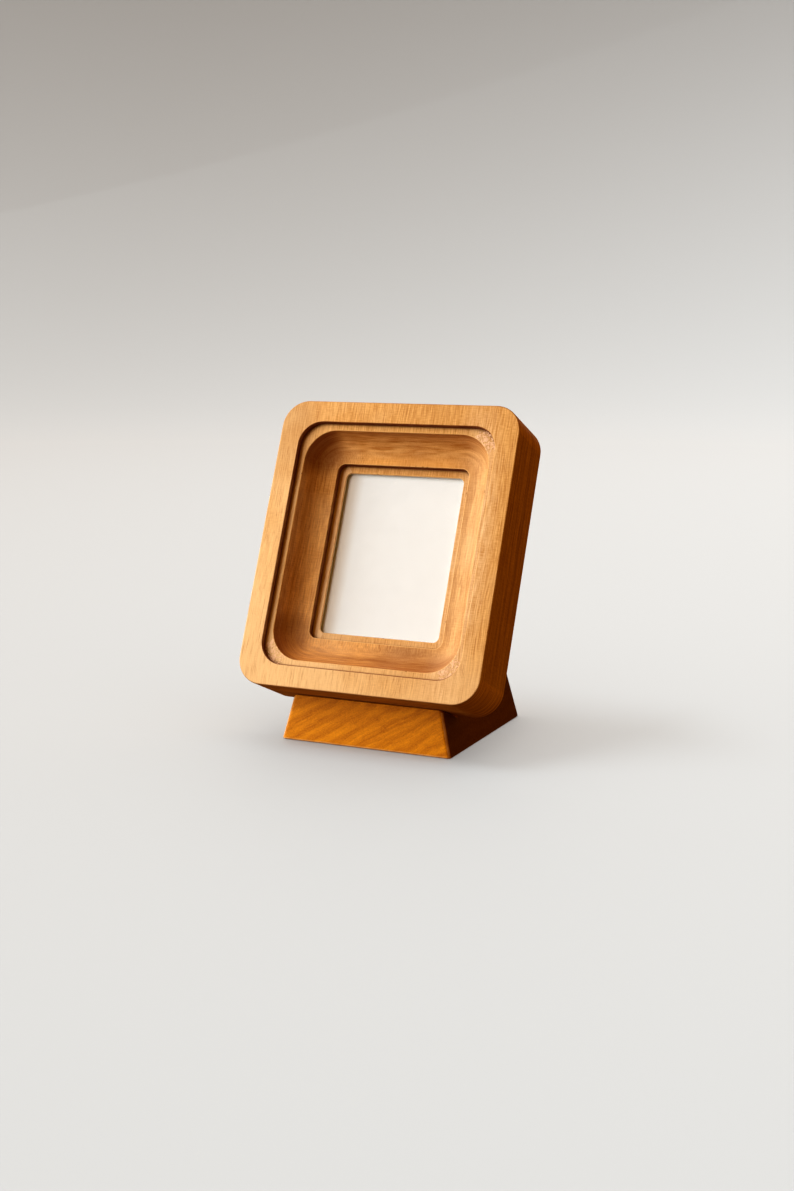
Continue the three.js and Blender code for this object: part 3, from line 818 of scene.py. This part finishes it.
for row, height in button_heights.items():
    for side, x, turn in (("left", -button_x, 0), ("right", button_x, math.pi)):
        spot = (x, height, -button_depth - button_thickness / 2)
        copy = fit_copy(button, f"brass_button_{row}_{side}", (0, 0, turn), spot)
        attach(copy, f"button_{row}_{side}")
        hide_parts(f"turn_button_{row}_{side}")
bpy.data.objects.remove(button)


# Button screws. Four slotted brass wood screws with domed heads, one through the heel of each button, driven
# into the shelf of the recess just so far that the button still turns.
head_radius, head_height, shank_radius = 0.0027, 0.0017, 0.0012
screw_length, screw_point, point_share, head_seat = 0.008, 0.0022, 0.08, 0.0224
slot_width, slot_depth, saw_length, saw_height = 0.0007, 0.0008, 0.01, 0.002
bpy.ops.object.select_all(action="DESELECT")
bpy.ops.mesh.primitive_uv_sphere_add(segments=40, ring_count=24, radius=head_radius)
screw = bpy.context.object
bpy.ops.object.mode_set(mode="EDIT")
bpy.ops.transform.resize(value=(1, 1, head_height / head_radius), center_override=(0, 0, 0))
bpy.ops.mesh.bisect(plane_co=(0, 0, 0), plane_no=(0, 0, 1), use_fill=True, clear_inner=True)
pick(screw, "FACE", lambda face: face.normal.z < -0.9)
bpy.ops.mesh.inset(thickness=head_radius - shank_radius)
bpy.ops.mesh.extrude_region_move(TRANSFORM_OT_translate={"value": (0, 0, screw_point - screw_length)})
bpy.ops.mesh.extrude_region_move(TRANSFORM_OT_translate={"value": (0, 0, -screw_point)})
bpy.ops.transform.resize(value=(point_share, point_share, 1), center_override=(0, 0, -screw_length))
bpy.ops.object.mode_set(mode="OBJECT")
bpy.ops.object.select_all(action="DESELECT")
bpy.ops.mesh.primitive_cube_add(size=1, location=(0, 0, head_height - slot_depth + saw_height / 2))
saw = bpy.context.object
saw.scale = (saw_length, slot_width, saw_height)
cut_away(screw, saw)
screw.data.materials.append(brass)

slot_turns = {"upper_left": 20, "upper_right": -38, "lower_left": 74, "lower_right": 5}
for row, height in button_heights.items():
    for side, x in (("left", -button_x), ("right", button_x)):
        turn = (math.pi, 0, math.radians(slot_turns[f"{row}_{side}"]))
        copy = fit_copy(screw, f"slotted_screw_{row}_{side}", turn, (x, height, -head_seat))
        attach(copy, "frame")
        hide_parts(f"button_screw_{row}_{side}")
bpy.data.objects.remove(screw)


# Dowels. Two beech pins glued into the back of the frame and the wall of the notch, hidden in the wood.
# Plain beech is pale and straight, with brown flecks half a millimetre wide and 4 mm long.
beech = new_material("plain_beech")
place = node(beech, "TexCoord", {})
pin_space = node(
    beech,
    "Mapping",
    {"Vector": place.outputs["Object"], "Rotation": (lean - math.pi / 2, 0, 0), "Scale": (1800, 1800, 250)},
)
fleck = node(beech, "TexNoise", {"Vector": pin_space, "Scale": 1, "Detail": 3, "Roughness": 0.6})
fleck_tone = node(beech, "MapRange", {"Value": fleck, "From Min": 0.35, "From Max": 0.7})
beech_colour = node(
    beech, "Mix", {"Factor": fleck_tone, 6: linear("#DDB88A"), 7: linear("#B88A5A")}, data_type="RGBA"
)
beech_shader = node(beech, "BsdfPrincipled", {"Base Color": beech_colour, "Roughness": 0.6, "IOR": 1.45})
node(beech, "OutputMaterial", {"Surface": beech_shader})
for side in ("left", "right"):
    dress(f"dowel_{side}", beech)


# Studio. A pale round floor that sweeps up all round the object, and soft light from the left in front; the
# camera stands where the photograph was taken. The floor has lamps of its own and glows a little, so that it
# is evenly pale on every side, but throws no light back: the sides that face away from the lamp stay dark.
floor_radius, sweep_radius, sweep_height, floor_drop = 2.4, 0.8, 3, 0.0001
bpy.ops.object.select_all(action="DESELECT")
bpy.ops.mesh.primitive_circle_add(
    vertices=96, radius=floor_radius, fill_type="NGON", location=(0, 0, -floor_drop)
)
floor = bpy.context.object
floor.name = "floor"
bpy.ops.object.mode_set(mode="EDIT")
bpy.ops.mesh.select_mode(type="EDGE")
bpy.ops.mesh.select_all(action="SELECT")
bpy.ops.mesh.extrude_edges_move(TRANSFORM_OT_translate={"value": (0, 0, sweep_height)})
pick(floor, "EDGE", lambda edge: max(vert.co.z for vert in edge.verts) < 0.01)
bpy.ops.mesh.bevel(offset=sweep_radius, segments=16)
bpy.ops.object.mode_set(mode="OBJECT")
bpy.ops.object.transform_apply(location=True, rotation=True, scale=True)
bpy.ops.object.shade_smooth()
pale = new_material("pale_floor")
pale_shader = node(
    pale,
    "BsdfPrincipled",
    {
        "Base Color": linear("#8C98A2"),
        "Roughness": 0.7,
        "Emission Color": linear("#FFFCFA"),
        "Emission Strength": 0.14,
    },
)
node(pale, "OutputMaterial", {"Surface": pale_shader})
floor.data.materials.append(pale)
floor.visible_diffuse = False
floor.visible_glossy = False
floor_only = bpy.data.collections.new("floor_only")
floor_only.objects.link(floor)
all_but_floor = bpy.data.collections.new("all_but_floor")
all_but_floor.objects.link(floor)
all_but_floor.collection_objects[0].light_linking.link_state = "EXCLUDE"

world = bpy.data.worlds.new("studio")
world.use_nodes = True
world.node_tree.nodes.clear()
place = node(world, "TexCoord", {})
skyward = node(world, "SeparateXYZ", {0: place.outputs["Generated"]}).outputs["Z"]
room_light = node(
    world, "MapRange", {"Value": skyward, "From Min": -0.2, "From Max": 0.2, "To Min": 0.15, "To Max": 0.39}
)
room = node(world, "Background", {"Color": linear("#F2A840"), "Strength": room_light})
node(world, "OutputWorld", {"Surface": room})
bpy.context.scene.world = world

for name, spot, target, size, energy, colour in (
    ("key_light", (-0.72, -0.49, 0.45), (0, -0.02, 0.07), 1.125, 17.1, "#FFF9F2"),
    ("back_light", (-0.5, 0.8, 0.15), (0, 0, 0.07), 1.2, 10, "#FFF4E8"),
):
    bpy.ops.object.light_add(type="AREA", location=spot)
    light = bpy.context.object
    light.name = name
    light.data.shape = "DISK"
    light.data.size = size
    light.data.energy = energy
    light.data.color = linear(colour)[:3]
    light.rotation_euler = (Vector(target) - Vector(spot)).to_track_quat("-Z", "Y").to_euler()
    light.visible_camera = False
    light.light_linking.receiver_collection = all_but_floor

for name, spot, angle, energy in (
    ("floor_sun", (-0.6, -0.35, 0.75), 35, 3.6),
    ("floor_sky", (0, 0, 1), 150, 4),
):
    bpy.ops.object.light_add(type="SUN", location=spot)
    light = bpy.context.object
    light.name = name
    light.data.energy = energy
    light.data.angle = math.radians(angle)
    light.data.color = linear("#FFF9F2")[:3]
    light.rotation_euler = (-Vector(spot)).to_track_quat("-Z", "Y").to_euler()
    light.light_linking.receiver_collection = floor_only

eye, pan, tilt, roll = (0.25904, -0.57443, 0.1634), 24.562, -9.804, 0.146
camera = bpy.data.objects.new("camera", bpy.data.cameras.new("camera"))
bpy.context.scene.collection.objects.link(camera)
camera.data.sensor_fit = "VERTICAL"
camera.data.sensor_height = 36
camera.data.lens = 47.812
camera.data.clip_start = 0.01
camera.matrix_world = (
    Matrix.Translation(eye)
    @ Matrix.Rotation(math.radians(pan), 4, "Z")
    @ Matrix.Rotation(math.radians(90 + tilt), 4, "X")
    @ Matrix.Rotation(math.radians(roll), 4, "Z")
)
bpy.context.scene.camera = camera
bpy.context.scene.view_settings.view_transform = "Standard"
bpy.context.scene.view_settings.look = "Medium High Contrast"
